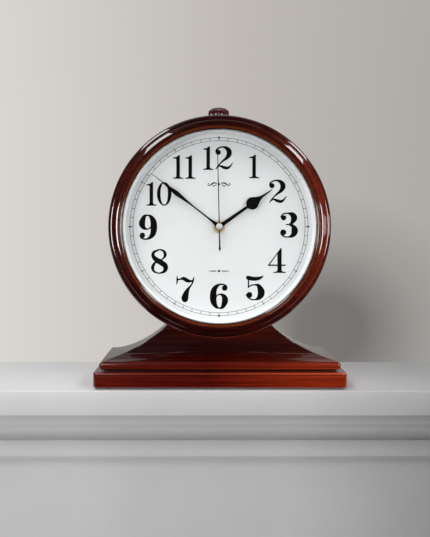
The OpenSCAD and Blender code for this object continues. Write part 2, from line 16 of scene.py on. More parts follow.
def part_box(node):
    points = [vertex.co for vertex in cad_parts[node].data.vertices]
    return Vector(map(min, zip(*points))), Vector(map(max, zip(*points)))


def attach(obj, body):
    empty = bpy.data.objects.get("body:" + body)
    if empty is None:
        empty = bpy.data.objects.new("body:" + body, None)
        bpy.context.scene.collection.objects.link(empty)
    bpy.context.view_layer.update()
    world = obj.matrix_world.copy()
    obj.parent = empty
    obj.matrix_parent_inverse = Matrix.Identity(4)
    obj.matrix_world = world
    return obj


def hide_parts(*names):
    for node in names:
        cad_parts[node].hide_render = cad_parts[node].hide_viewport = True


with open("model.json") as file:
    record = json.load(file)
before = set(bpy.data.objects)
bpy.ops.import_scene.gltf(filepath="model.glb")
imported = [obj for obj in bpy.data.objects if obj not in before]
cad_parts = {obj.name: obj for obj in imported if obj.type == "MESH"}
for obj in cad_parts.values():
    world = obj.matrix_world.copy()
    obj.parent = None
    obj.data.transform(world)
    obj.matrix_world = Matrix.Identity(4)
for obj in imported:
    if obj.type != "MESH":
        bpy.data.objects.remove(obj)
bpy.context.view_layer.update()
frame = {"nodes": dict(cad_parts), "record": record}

MM = 0.001
CASE = "clock_case"
WOOD = "mahogany_lacquer"


# ---------------------------------------------------------------------------------------------
# Places read from the frame
# ---------------------------------------------------------------------------------------------
def joint_place(name):
    """The point that a joint turns about."""
    joints = frame["record"]["behaviour"]["joints"]
    return Vector(next(j["pos_m"] for j in joints if j["name"] == name))


HEAD_Z = joint_place("seconds_turn").z
BEZEL_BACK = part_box("bezel")[1][1]
CROWN_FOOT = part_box("bezel")[1][2]
HEAD_R = CROWN_FOOT - HEAD_Z    # the bezel's outer radius
PLINTH_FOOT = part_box("plinth")[0][2]
PLINTH_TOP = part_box("plinth")[1][2]
BLOCK_TOP = PLINTH_FOOT + 14.8 * MM
GROOVE_TOP = PLINTH_FOOT + 17.2 * MM


# ---------------------------------------------------------------------------------------------
# Shader nodes
# ---------------------------------------------------------------------------------------------
MIX_FACTOR, MIX_A, MIX_B, MIX_RESULT = 0, 6, 7, 2    # the colour sockets of a Mix node


class Nodes:
    """Short ways to add and link the nodes of a material or a world."""

    def __init__(self, owner):
        owner.use_nodes = True
        self.nodes = owner.node_tree.nodes
        self.links = owner.node_tree.links

    def axis(self, vector, name):
        """One coordinate of a vector."""
        node = self.nodes.new("ShaderNodeSeparateXYZ")
        self.links.new(vector, node.inputs[0])
        return node.outputs[name]

    def distance(self, vector, point):
        """How far a vector is from a fixed point."""
        node = self.nodes.new("ShaderNodeVectorMath")
        node.operation = "DISTANCE"
        node.inputs[1].default_value = point
        self.links.new(vector, node.inputs[0])
        return node.outputs["Value"]

    def spread(self, value, low, high):
        """A value stretched to run from zero at low to one at high."""
        node = self.nodes.new("ShaderNodeMapRange")
        node.inputs["From Min"].default_value = low
        node.inputs["From Max"].default_value = high
        self.links.new(value, node.inputs["Value"])
        return node.outputs[0]

    def ramp(self, factor, *stops):
        """Colours or grey levels along a factor, given as (position, value)."""
        node = self.nodes.new("ShaderNodeValToRGB")
        elements = node.color_ramp.elements
        while len(elements) < len(stops):
            elements.new(0.5)
        for element, (position, value) in zip(elements, stops):
            element.position = position
            element.color = (value, value, value, 1.0) if np.isscalar(value) else (*value, 1.0)
        self.links.new(factor, node.inputs["Fac"])
        return node.outputs["Color"]

    def mix(self, factor, a, b, blend="MIX"):
        """Mixes two outputs, by a number or an output."""
        node = self.nodes.new("ShaderNodeMix")
        node.data_type = "RGBA"
        node.blend_type = blend
        if np.isscalar(factor):
            node.inputs[MIX_FACTOR].default_value = factor
        else:
            self.links.new(factor, node.inputs[MIX_FACTOR])
        self.links.new(a, node.inputs[MIX_A])
        self.links.new(b, node.inputs[MIX_B])
        return node.outputs[MIX_RESULT]

    def total(self, a, b):
        return self.mix(1.0, a, b, "ADD")

    def product(self, a, b):
        return self.mix(1.0, a, b, "MULTIPLY")


class Finish(Nodes):
    """A Principled material whose patterns are noise in the object's own coordinates."""

    def __init__(self, name, color, roughness, **sockets):
        self.material = bpy.data.materials.new(name)
        super().__init__(self.material)
        self.shader = self.nodes["Principled BSDF"]
        self.set("Base Color", (*color, 1.0))
        self.set("Roughness", roughness)
        for socket, value in sockets.items():
            self.set(socket.replace("_", " ").title().replace("Ior", "IOR"), value)
        self.coordinates = self.nodes.new("ShaderNodeTexCoord").outputs["Object"]

    def set(self, socket, value):
        self.shader.inputs[socket].default_value = value

    def drive(self, socket, output):
        self.links.new(output, self.shader.inputs[socket])

    def stretched(self, scale):
        """Object coordinates times a number, or times one number for each axis."""
        node = self.nodes.new("ShaderNodeMapping")
        node.inputs["Scale"].default_value = (scale,) * 3 if np.isscalar(scale) else scale
        self.links.new(self.coordinates, node.inputs["Vector"])
        return node.outputs["Vector"]

    def place(self, axis):
        """The coordinate in metres along an axis."""
        return self.axis(self.coordinates, axis)

    def radius(self):
        """Distance in metres from the head's axis."""
        flat = self.nodes.new("ShaderNodeVectorMath")
        flat.operation = "MULTIPLY"
        flat.inputs[1].default_value = (1.0, 0.0, 1.0)
        self.links.new(self.coordinates, flat.inputs[0])
        return self.distance(flat.outputs["Vector"], (0.0, 0.0, HEAD_Z))

    def noise(self, scale, detail=4.0, roughness=0.55, distortion=0.0):
        node = self.nodes.new("ShaderNodeTexNoise")
        node.inputs["Scale"].default_value = 1.0
        node.inputs["Detail"].default_value = detail
        node.inputs["Roughness"].default_value = roughness
        node.inputs["Distortion"].default_value = distortion
        self.links.new(self.stretched(scale), node.inputs["Vector"])
        return node.outputs["Fac"]

    def cells(self, scale):
        """Distance to the nearest of many scattered points, for pits and specks."""
        node = self.nodes.new("ShaderNodeTexVoronoi")
        node.inputs["Scale"].default_value = 1.0
        self.links.new(self.stretched(scale), node.inputs["Vector"])
        return node.outputs["Distance"]

    def bump(self, height, strength, distance, socket="Normal"):
        """Relief on a normal socket, of a depth in metres."""
        node = self.nodes.new("ShaderNodeBump")
        node.inputs["Strength"].default_value = strength
        node.inputs["Distance"].default_value = distance
        self.links.new(height, node.inputs["Height"])
        self.drive(socket, node.outputs["Normal"])


# ---------------------------------------------------------------------------------------------
# Finishes
# ---------------------------------------------------------------------------------------------
def mahogany_painted_shade_and_glow(f, x, z, radius):
    """How much of the wood's colour is kept, in painted shade and glow: all of it on the plinth;
    little on the pedestal and the head, which are painted dark as shade; and more in a painted glow
    on the pedestal just under the bezel and on the bezel's rolls at left and right."""
    # Painted shade on the pedestal: darkest in the cove under the overhanging head, lighter just
    # above the plinth
    up_pedestal = f.spread(z, PLINTH_TOP, PLINTH_TOP + 40 * MM)
    painted_shade_by_height = f.ramp(up_pedestal, (0.0, 1.0), (0.04, 0.35), (0.22, 0.13), (0.50, 0.18))
    # Painted glow: a brighter red band on the pedestal just under the bezel
    past_bezel = f.spread(radius, HEAD_R - 2 * MM, HEAD_R + 18 * MM)
    under_bezel = f.ramp(past_bezel, (0.10, 0.0), (0.13, 0.55), (0.40, 0.22), (0.85, 0.0))
    # Painted glow: the bezel's rolls are redder at the left, and more so at the right
    sides = f.ramp(f.spread(x, -HEAD_R, HEAD_R), (0.0, 0.36), (0.25, 0.05), (0.75, 0.10),
                   (1.0, 0.70))
    on_rolls = f.ramp(f.spread(radius, HEAD_R - 12 * MM, HEAD_R), (0.10, 0.1), (0.28, 1.0),
                      (0.66, 1.0), (0.80, 0.05))
    return f.total(f.total(painted_shade_by_height, under_bezel), f.product(sides, on_rolls))


def mahogany_painted_highlights_and_shade(f, color, streaks, rightwards, y, z, radius):
    """Painted highlights and shade in orange: a painted orange glow on the bezel's inner step,
    painted orange highlights on the plinth's arrises beside the groove, brighter to the right, and a
    painted reflection along the bottom of the bezel's rim. The plinth's groove is painted dark, as
    painted shade."""
    # Painted glow: an orange band round the bezel's inner step
    inner_step = f.ramp(f.spread(radius, HEAD_R - 16 * MM, HEAD_R - 6 * MM), (0.24, 0.0),
                        (0.30, 0.9), (0.40, 0.7), (0.50, 0.0))
    orange = f.ramp(streaks, (0.3, (0.22, 0.030, 0.006)), (0.7, (0.44, 0.090, 0.022)))
    color = f.mix(inner_step, color, orange)

    # Painted highlights: orange lines along the plinth's edges beside the groove, brighter to the
    # right
    bright_orange = f.ramp(streaks, (0.3, (0.60, 0.090, 0.025)), (0.7, (0.95, 0.170, 0.050)))
    arris = 2.0 * MM
    by_groove = f.spread(z, BLOCK_TOP - arris, GROOVE_TOP + arris)
    arrises = f.ramp(by_groove, (0.10, 0.0), (0.19, 0.8), (0.29, 0.8), (0.31, 0.0),
                     (0.685, 0.0), (0.70, 0.8), (0.85, 0.8), (0.95, 0.0))
    to_the_right = f.ramp(rightwards, (0.0, 0.15), (0.5, 0.32), (1.0, 0.9))
    color = f.mix(f.product(arrises, to_the_right), color, bright_orange)
    # Painted shade: the plinth's groove is darkened
    in_groove = f.ramp(by_groove, (0.315, 1.0), (0.335, 0.10), (0.675, 0.10), (0.69, 1.0))
    color = f.product(color, in_groove)

    # Painted reflection: orange along the bottom of the bezel's rim, as from the shelf below
    rim = f.ramp(f.spread(radius, HEAD_R - 2 * MM, HEAD_R), (0.45, 0.0), (0.55, 1.0), (0.90, 1.0),
                 (0.96, 0.0))
    on_bezel = f.ramp(f.spread(y, BEZEL_BACK - 3 * MM, BEZEL_BACK - 2 * MM), (0.0, 1.0), (1.0, 0.0))
    low_down = f.ramp(f.spread(z, HEAD_Z - HEAD_R, HEAD_Z - 70 * MM), (0.0, 0.9), (1.0, 0.0))
    return f.mix(f.product(f.product(rim, on_bezel), low_down), color, bright_orange)


def mahogany_lacquer():
    """Dark red mahogany grain with a painted orange glow that grows to the right, and painted shade
    and highlights, under a deep, glossy, slightly uneven coat. The crown has a plainer, duller red."""
    f = Finish(WOOD, (0.10, 0.006, 0.002), 0.32, coat_weight=1.0, coat_roughness=0.01, coat_ior=1.8,
               specular_ior_level=0.1)
    x, y, z = (f.place(axis) for axis in "XYZ")
    radius = f.radius()
    streaks = f.noise((9.0, 620.0, 620.0), detail=5.0, roughness=0.62, distortion=0.35)
    bands = f.noise((3.5, 70.0, 70.0), detail=2.0)
    pores = f.noise((45.0, 3200.0, 3200.0), detail=2.0, roughness=0.5)
    grain = f.mix(0.35, streaks, bands)
    deep = f.ramp(grain, (0.30, (0.032, 0.0004, 0.0003)), (0.48, (0.090, 0.0018, 0.0006)),
                  (0.64, (0.200, 0.0100, 0.0022)))
    # Painted glow: the grain turns orange towards the right, where the light falls, and a little at
    # the far left
    glow = f.ramp(grain, (0.30, (0.30, 0.012, 0.002)), (0.64, (0.75, 0.075, 0.010)))
    rightwards = f.spread(x, -120 * MM, 120 * MM)
    glowing = f.ramp(rightwards, (0.0, 0.08), (0.45, 0.0), (0.9, 0.36))
    dark_pores = f.ramp(pores, (0.34, 0.45), (0.46, 1.0))
    grained = f.mix(0.8, f.mix(glowing, deep, glow), dark_pores, "MULTIPLY")
    with_painted_shade_and_glow = f.product(grained, mahogany_painted_shade_and_glow(f, x, z, radius))
    painted_light_and_shade = mahogany_painted_highlights_and_shade(f, with_painted_shade_and_glow, streaks, rightwards, y, z, radius)
    crown_color = f.ramp(grain, (0.3, (0.03, 0.001, 0.001)), (0.64, (0.10, 0.006, 0.005)))
    on_crown = f.spread(z, CROWN_FOOT, CROWN_FOOT + 1 * MM)
    f.drive("Base Color", f.mix(on_crown, painted_light_and_shade, crown_color))
    f.drive("Roughness", f.ramp(streaks, (0.3, 0.28), (0.7, 0.40)))
    f.bump(pores, 0.10, 0.05 * MM)
    f.bump(f.noise(160.0, detail=1.0), 0.008, 0.2 * MM, "Coat Normal")
    return f.material


def shade_of(color, factor):
    """A colour made darker or lighter, with no channel past white."""
    return tuple(min(1.0, channel * factor) for channel in color)


def moulded_plastic(name, color, roughness, variation=0.25, texture=0.25, **sockets):
    """Injection-moulded plastic: fine spark-eroded texture, faint flow marks and a few scuffs."""
    f = Finish(name, color, roughness, **sockets)
    flow = f.noise((40.0, 40.0, 90.0), detail=3.0)
    f.drive("Base Color", f.ramp(flow, (0.3, shade_of(color, 1 - variation)),
                                 (0.7, shade_of(color, 1 + variation))))
    scuffs = f.noise((260.0, 1500.0, 900.0), detail=3.0, roughness=0.7)
    f.drive("Roughness", f.ramp(scuffs, (0.42, roughness), (0.72, min(1.0, roughness + 0.16))))
    f.bump(f.cells(2600.0), texture, 0.05 * MM)
    return f.material


def metal(name, color, roughness, direction, spots=0.2):
    """Bare or plated metal with fine drawing or turning marks and slight tarnish."""
    f = Finish(name, color, roughness, metallic=1.0)
    tarnish = f.noise(170.0, detail=5.0, roughness=0.6)
    f.drive("Base Color", f.ramp(tarnish, (0.3, shade_of(color, 1 - spots)), (0.62, color)))
    lines = f.noise(direction, detail=3.0, roughness=0.7)
    f.drive("Roughness", f.ramp(lines, (0.3, roughness * 0.75), (0.7, min(1.0, roughness * 1.5))))
    f.bump(lines, 0.12, 0.02 * MM)
    return f.material


def black_rubber():
    """Matt black rubber with a bloom of dust."""
    f = Finish("black_rubber", (0.014, 0.014, 0.014), 0.8)
    f.drive("Base Color", f.ramp(f.noise(300.0), (0.3, (0.009,) * 3), (0.7, (0.03, 0.029, 0.028))))
    f.drive("Roughness", f.ramp(f.noise(900.0), (0.3, 0.72), (0.7, 0.92)))
    f.bump(f.cells(1900.0), 0.4, 0.08 * MM)
    return f.material


def clear_glass():
    """Polished mineral glass. Its wipe marks are too faint to blur what is behind."""
    f = Finish("clear_glass", (0.985, 0.995, 0.99), 0.0, transmission_weight=1.0, ior=1.46)
    f.bump(f.noise(25.0, detail=1.0), 0.01, 0.02 * MM)
    return f.material


def white_dial():
    """Satin white paint on a thin metal dial."""
    f = Finish("white_dial", (0.74, 0.745, 0.755), 0.42, coat_weight=0.25, coat_roughness=0.25)
    f.drive("Base Color", f.ramp(f.noise(28.0, detail=3.0), (0.3, (0.73, 0.735, 0.745)),
                                 (0.7, (0.755, 0.76, 0.77))))
    fine = f.noise(2400.0, detail=2.0)
    f.drive("Roughness", f.ramp(fine, (0.3, 0.38), (0.7, 0.5)))
    f.bump(fine, 0.06, 0.02 * MM)
    return f.material


def black_enamel():
    """Glossy black paint on stamped hands, and the black print of the dial."""
    f = Finish("black_enamel", (0.003, 0.003, 0.003), 0.28, specular_ior_level=0.08)
    f.drive("Base Color", f.ramp(f.noise(220.0), (0.3, (0.0015,) * 3),
                                 (0.7, (0.004, 0.004, 0.0042))))
    peel = f.noise(1300.0, detail=2.0)
    f.drive("Roughness", f.ramp(peel, (0.3, 0.24), (0.7, 0.34)))
    f.bump(peel, 0.08, 0.03 * MM)
    return f.material


def copper_wire():
    """Enamelled wire wound in close turns round a coil that lies along X."""
    f = Finish("copper_wire", (0.62, 0.22, 0.08), 0.32, metallic=0.9)
    wave = f.nodes.new("ShaderNodeTexWave")
    wave.bands_direction = "X"
    wave.inputs["Scale"].default_value = 1500.0
    wave.inputs["Distortion"].default_value = 0.4
    f.links.new(f.coordinates, wave.inputs["Vector"])
    turns = wave.outputs["Fac"]
    # Painted shade: the colour is darker in the grooves between the turns, lighter on their crests
    f.drive("Base Color", f.ramp(turns, (0.1, (0.25, 0.07, 0.02)), (0.7, (0.68, 0.25, 0.09))))
    f.drive("Roughness", f.ramp(f.noise(500.0), (0.3, 0.25), (0.7, 0.42)))
    f.bump(turns, 0.5, 0.06 * MM)
    return f.material


def board_laminate():
    """Brown phenolic board with a woven surface."""
    f = Finish("board_laminate", (0.30, 0.16, 0.05), 0.55)
    f.drive("Base Color", f.ramp(f.noise((1200.0, 1200.0, 300.0)), (0.3, (0.22, 0.11, 0.035)),
                                 (0.7, (0.36, 0.2, 0.07))))
    f.drive("Roughness", f.ramp(f.noise(700.0), (0.3, 0.45), (0.7, 0.65)))
    f.bump(f.cells(1500.0), 0.2, 0.03 * MM)
    return f.material


def cell_sleeve():
    """Printed shrink sleeve of the cell: a plain green-grey body, shiny, with soft creases."""
    f = Finish("cell_sleeve", (0.05, 0.15, 0.11), 0.25, coat_weight=0.6, coat_roughness=0.08)
    f.drive("Base Color", f.ramp(f.noise((30.0, 200.0, 200.0)), (0.3, (0.035, 0.12, 0.085)),
                                 (0.7, (0.065, 0.18, 0.13))))
    f.drive("Roughness", f.ramp(f.noise(600.0), (0.3, 0.2), (0.7, 0.34)))
    f.bump(f.noise((90.0, 500.0, 500.0), detail=2.0), 0.15, 0.05 * MM)
    return f.material


finishes = {
    WOOD: mahogany_lacquer(),
    "black_plastic": moulded_plastic("black_plastic", (0.017, 0.017, 0.018), 0.42),
    "black_rubber": black_rubber(),
    "screw_steel": metal("screw_steel", (0.60, 0.60, 0.61), 0.26, (1500.0, 300.0, 1500.0)),
    "brass": metal("brass", (0.86, 0.70, 0.42), 0.40, (1800.0, 1800.0, 1800.0), 0.25),
    "clear_glass": clear_glass(),
    "pale_plastic": moulded_plastic("pale_plastic", (0.93, 0.94, 0.95), 0.3, 0.03, 0.05),
    "white_dial": white_dial(),
    "bare_steel": metal("bare_steel", (0.56, 0.57, 0.58), 0.3, (300.0, 1800.0, 1800.0), 0.3),
    "copper_wire": copper_wire(),
    "board_laminate": board_laminate(),
    "cell_sleeve": cell_sleeve(),
    "black_enamel": black_enamel(),
    "silver_cap": metal("silver_cap", (0.90, 0.90, 0.90), 0.36, (2200.0, 2200.0, 2200.0), 0.08),
    "natural_plastic": moulded_plastic("natural_plastic", (0.72, 0.70, 0.64), 0.4, 0.05, 0.12,
                                       subsurface_weight=0.15, subsurface_scale=0.002),
}

for cad_node in frame["nodes"].values():
    for cad_slot in cad_node.material_slots:
        cad_slot.material = finishes[cad_slot.material.name]


# ---------------------------------------------------------------------------------------------
# Meshes
# ---------------------------------------------------------------------------------------------
DOUBLED = 1e-7    # points closer than this are one point


def placed(name, mesh_data, material, sharp=30.0):
    """Puts a mesh in the scene, smooth but for the edges sharper than an angle in degrees."""
    mesh_data.name = name
    mesh_data.materials.clear()
    mesh_data.materials.append(material)
    mesh_data.shade_smooth()
    mesh_data.set_sharp_from_angle(angle=math.radians(sharp))
    obj = bpy.data.objects.new(name, mesh_data)
    bpy.context.scene.collection.objects.link(obj)
    return obj


def piece(name, mesh_data, slot, body=CASE, sharp=30.0, stands_for=()):
    """Places a piece with a finish. It rides on a body and may stand for nodes of the frame."""
    obj = placed(name, mesh_data, finishes[slot], sharp)
    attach(obj, body)
    if stands_for:
        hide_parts(*stands_for)


def cleaned(mesh_data):
    """A mesh with its doubled points merged and its normals turned outwards."""
    shape = bmesh.new()
    shape.from_mesh(mesh_data)
    bmesh.ops.remove_doubles(shape, verts=shape.verts, dist=DOUBLED)
    bmesh.ops.recalc_face_normals(shape, faces=shape.faces)
    shape.to_mesh(mesh_data)
    shape.free()
    return mesh_data


def mesh_of(points, faces):
    """A clean mesh from points and faces."""
    mesh_data = bpy.data.meshes.new("mesh")
    mesh_data.from_pydata([tuple(p) for p in points], [], faces)
    return cleaned(mesh_data)


def arc(centre, radius, start, end, steps):
    """Points of an arc between two angles in degrees."""
    angles = np.radians(np.linspace(start, end, steps + 1))
    return [(centre[0] + radius * math.cos(a), centre[1] + radius * math.sin(a)) for a in angles]


def ring_of(profile, turns):
    """Points and faces of a (radius, y) outline turned about the head's axis."""
    points, faces = [], []
    for i in range(turns):
        a = 2 * math.pi * i / turns
        for r, y in profile:
            points.append((r * math.sin(a), y, HEAD_Z + r * math.cos(a)))
    n = len(profile)
    for i in range(turns):
        for j in range(n):
            k = (j + 1) % n
            m = (i + 1) % turns
            faces.append((i * n + j, i * n + k, m * n + k, m * n + j))
    return points, faces


def rows_of_faces(rows, n):
    """Faces between closed rows of n points that follow one another."""
    return [(row * n + i, row * n + (i + 1) % n, (row + 1) * n + (i + 1) % n, (row + 1) * n + i)
            for row in range(rows - 1) for i in range(n)]


# ---------------------------------------------------------------------------------------------
# Case
# ---------------------------------------------------------------------------------------------
def meeting(first, second):
    """Angles, seen from each centre, of the forward point where two circles of a profile meet."""
    (x0, y0), r0 = first
    (x1, y1), r1 = second
    d = math.hypot(x1 - x0, y1 - y0)
    towards = math.atan2(y1 - y0, x1 - x0)
    half = math.acos((d * d + r0 * r0 - r1 * r1) / (2 * d * r0))
    crossings = [(x0 + r0 * math.cos(a), y0 + r0 * math.sin(a))
                 for a in (towards - half, towards + half)]
    x, y = min(crossings, key=lambda p: p[1])
    return [math.degrees(math.atan2(y - c[1], x - c[0])) for c in ((x0, y0), (x1, y1))]


def make_bezel():
    """The front ring: an outer roll, a broad inner roll, and a bead on the lip over the glass."""
    low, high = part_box("bezel")
    lens_low, lens_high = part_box("lens")
    outer = (high[0] - low[0]) / 2
    front, back, glass_front = low[1], high[1], lens_low[1]
    seat_gap, lip, step, edge = 0.2 * MM, 2.3 * MM, 3.0 * MM, 0.3 * MM
    seat_r = (lens_high[0] - lens_low[0]) / 2 + seat_gap
    lip_r = seat_r - lip
    step_r = lip_r + step
    roll_r, roll_y = 4.2 * MM, 6.2 * MM
    broad_r, broad_from_lip = 7.5 * MM, 4.3 * MM
    bead_r, bead_y = 1.6 * MM, 3.3 * MM
    roll = ((outer - roll_r, front + roll_y), roll_r)
    broad = ((lip_r + broad_from_lip, front + broad_r), broad_r)
    bead = ((lip_r + bead_r, front + bead_y), bead_r)
    roll_in, broad_out = meeting(roll, broad)
    broad_in = 270 - math.degrees(math.asin((broad[0][0] - step_r - edge) / broad_r))
    edge_y = broad[0][1] + broad_r * math.sin(math.radians(broad_in))
    bead_out = 360 - math.degrees(math.acos((step_r - bead[0][0]) / bead_r))
    profile = [(outer, back + edge)]
    profile += arc(*roll, 360, roll_in % 360, 40)
    profile += arc(*broad, broad_out % 360, broad_in, 28)
    profile += arc((step_r + edge, edge_y + edge), edge, 260, 180, 4)
    profile += arc(*bead, bead_out, 180, 20)
    profile += [(lip_r, glass_front), (seat_r, glass_front), (seat_r, back), (outer - edge, back)]
    piece("bezel_ring", mesh_of(*ring_of(profile, 360)), WOOD, stands_for=["bezel"])


def make_crown():
    """The fluted crown on its stem, with a low rounded top that the flutes run out on."""
    low, high = (Vector(corner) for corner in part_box("crown"))
    axis = (low + high) / 2
    full = (high.x - low.x) / 2
    stem_r, under, edge, dome = 6.5 * MM, low.z + 1.4 * MM, 0.5 * MM, 4.5 * MM
    flutes, depth, turns, dome_steps = 24, 0.6 * MM, 288, 15
    shoulder, crest, run_out = 0.75, 1.15, 1.2
    outline = [(stem_r, low.z, 0.0), (stem_r, under, 0.0), (full - edge - depth, under, 0.0),
               (full - edge, under, 0.5), (full, under + edge, 1.0)]
    for i in range(dome_steps):
        a = math.radians(i * 90 / dome_steps)
        outline.append((full * math.cos(a) ** shoulder, high.z - dome + dome * math.sin(a) ** crest,
                        max(0.0, 1.0 - math.sin(a) * run_out)))
    points = []
    for r, z, fluting in outline:
        for i in range(turns):
            a = 2 * math.pi * i / turns
            cut = r - fluting * depth * (0.5 + 0.5 * math.cos(flutes * a)) ** 2
            points.append((axis.x + cut * math.cos(a), axis.y + cut * math.sin(a), z))
    points += [(axis.x, axis.y, low.z), (axis.x, axis.y, high.z)]
    faces = rows_of_faces(len(outline), turns)
    last = (len(outline) - 1) * turns
    for i in range(turns):
        k = (i + 1) % turns
        faces += [(i, k, len(points) - 2), (last + i, last + k, len(points) - 1)]
    piece("crown_turning", mesh_of(points, faces), WOOD, body="crown", sharp=40,
          stands_for=["crown"])


def rounded_rectangle(corner_steps, side_steps):
    """Places round a rectangle: (u, v) from -1 to 1, and the direction away from the round corner's
    centre. The sides along X are divided into steps."""
    places = []
    for k, (u, v) in enumerate([(1, -1), (1, 1), (-1, 1), (-1, -1)]):
        for i in range(corner_steps + 1):
            a = math.radians(-90 + 90 * k + 90 * i / corner_steps)
            places.append((u, v, math.cos(a), math.sin(a)))
        if k in (1, 3):
            for i in range(1, side_steps):
                s = 1 - 2 * i / side_steps
                places.append((s if k == 1 else -s, v, 0.0, float(v)))
    return places


def ring_point(place, half_x, half_y, corner, z):
    """The point of a rounded rectangle of a size and height at one of its places."""
    u, v, cx, cy = place
    return (u * (half_x - corner) + cx * corner, v * (half_y - corner) + cy * corner, z)


def loft(rings, caps=True):
    """Points and faces of equal rings joined one after another, with flat ends."""
    n = len(rings[0])
    points = [p for ring in rings for p in ring]
    faces = rows_of_faces(len(rings), n)
    if caps:
        last = (len(rings) - 1) * n
        faces += [tuple(range(n)), tuple(range(last, last + n))]
    return points, faces


def make_plinth():
    """Lower block, shadow groove and rounded upper moulding, with a room for the base plate."""
    low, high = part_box("plinth")
    half_x, half_y = (high[0] - low[0]) / 2, (high[1] - low[1]) / 2
    room_gap, room_corner, room_height = 0.5 * MM, 3.0 * MM, 11.8 * MM
    least_corner = 0.3 * MM
    places = rounded_rectangle(8, 2)

    def ring(x, y, corner, z):
        return [ring_point(p, x, y, corner, z) for p in places]

    def rounded_block(x, y, z_low, z_high, corner, edge, steps=7):
        """Rings of a block whose bottom and top edges are rounded."""
        levels = [(edge - edge * math.sin(a), edge - edge * math.cos(a))
                  for a in np.linspace(0, math.pi / 2, steps)]
        outline = [(d, z_low + h) for d, h in levels]
        outline += [(d, z_high - h) for d, h in reversed(levels)]
        return [ring(x - d, y - d, max(corner - d, least_corner), z) for d, z in outline]

    room_x, room_y = (v + room_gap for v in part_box("base_plate")[1][:2])
    groove_x, groove_y, groove_corner = half_x - 8.2 * MM, half_y - 6.5 * MM, 2.0 * MM
    upper_x, upper_y = half_x - 5.45 * MM, half_y - 4.0 * MM
    rings = [ring(room_x, room_y, room_corner, z) for z in (PLINTH_FOOT + room_height, PLINTH_FOOT)]
    rings += rounded_block(half_x, half_y, PLINTH_FOOT, BLOCK_TOP, 5.0 * MM, 1.6 * MM)
    rings += [ring(groove_x, groove_y, groove_corner, z) for z in (BLOCK_TOP, GROOVE_TOP)]
    rings += rounded_block(upper_x, upper_y, GROOVE_TOP, PLINTH_TOP, 3.2 * MM, 2.4 * MM)
    piece("plinth_moulding", mesh_of(*loft(rings)), WOOD, stands_for=["plinth"])


def make_pedestal():
    """A block cut to the drum, hollowed by a cove along its front and back and by a wide curve on
    each side."""
    low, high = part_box("pedestal")
    half_x, half_y = (high[0] - low[0]) / 2, (high[1] - low[1]) / 2
    foot = low[2]
    drum_low, drum_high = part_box("drum")
    drum_r = (drum_high[0] - drum_low[0]) / 2
    cove_r = 19.7 * MM
    cove_z = foot + 1.2 * MM + cove_r
    side_r, side_x, side_z = 125.0 * MM, 141.3 * MM, 148.9 * MM
    edge, corner = 0.5 * MM, 1.0 * MM
    neck_rings, halvings = 8, 40
    places = rounded_rectangle(6, 96)

    def half_width(z):
        return min(half_x, side_x - math.sqrt(side_r ** 2 - (side_z - z) ** 2))

    def top_of(place):
        """Where a column of the loft meets the drum."""
        a, b = cove_z, HEAD_Z
        for _ in range(halvings):
            z = (a + b) / 2
            x = ring_point(place, half_width(z), half_y - cove_r, corner, z)[0]
            if math.hypot(x, HEAD_Z - z) > drum_r:
                a = z
            else:
                b = z
        return a

    levels = [(half_y, foot)]
    levels += [(half_y - edge + y, cove_z - cove_r - edge + z)
               for y, z in arc((0, 0), edge, 0, 90, 5)]
    start = math.degrees(math.asin(edge / cove_r))
    levels += [(half_y + y, cove_z + z) for y, z in arc((0, 0), cove_r, 270 - start, 180, 36)[1:]]
    rings = [[ring_point(p, half_width(z), y, corner, z) for p in places] for y, z in levels]
    tops = [top_of(p) for p in places]
    neck = half_y - cove_r
    for k in range(1, neck_rings + 1):
        ring = []
        for p, top in zip(places, tops):
            z = cove_z + (top - cove_z) * k / neck_rings
            ring.append(ring_point(p, half_width(z), neck, corner, z))
        rings.append(ring)
    points, faces = loft(rings, caps=False)

    def key(u, v, cx, cy):
        return tuple(round(value, 6) for value in (u, v, cx, cy))

    # Both ends are closed by strips from each place along the front to its mirror along the back
    n = len(places)
    index = {key(*p): i for i, p in enumerate(places)}
    twin = [index[key(u, -v, cx, -cy)] for u, v, cx, cy in places]
    for first in (0, (len(rings) - 1) * n):
        for i, p in enumerate(places):
            k = (i + 1) % n
            if p[1] < 0 and places[k][1] < 0:
                faces.append((first + i, first + k, first + twin[k], first + twin[i]))
    piece("pedestal_body", mesh_of(points, faces), WOOD, sharp=35, stands_for=["pedestal"])


make_bezel()
make_crown()
make_plinth()
make_pedestal()


# ---------------------------------------------------------------------------------------------
# Dial print
# ---------------------------------------------------------------------------------------------
DIAL_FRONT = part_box("dial")[0][1]
INK = 0.05 * MM           # how thick the print is
INK_SPREAD = 0.15 * MM    # how far it runs past the numerals' drawn outlines
SAMPLE = 0.12 * MM        # spacing of the grids on which outlines are traced
FAR = 1e3                 # further off than any point of a grid


def sample_grid(xs, ys):
    """The points at every pair of two sets of coordinates."""
    return np.stack(np.meshgrid(xs, ys, indexing="ij"), axis=-1)


def smooth_path(points, steps=22):
    """A Catmull-Rom curve through (x, y, width) points."""
    p = np.array([points[0], *points, points[-1]], float)
    t = np.linspace(0, 1, steps, endpoint=False)[:, None]
    spans = []
    for a, b, c, d in zip(p, p[1:], p[2:], p[3:]):
        bend, twist = 2 * a - 5 * b + 4 * c - d, 3 * b - a - 3 * c + d
        spans.append(0.5 * (2 * b + (c - a) * t + bend * t ** 2 + twist * t ** 3))
    return np.vstack([*spans, p[-1:]])


def stroke_field(grid, points):
    """Distance outside a stroke of varying width."""
    field = np.full(grid.shape[:2], FAR)
    for x, y, width in smooth_path(points):
        field = np.minimum(field, np.hypot(grid[..., 0] - x, grid[..., 1] - y) - width / 2)
    return field


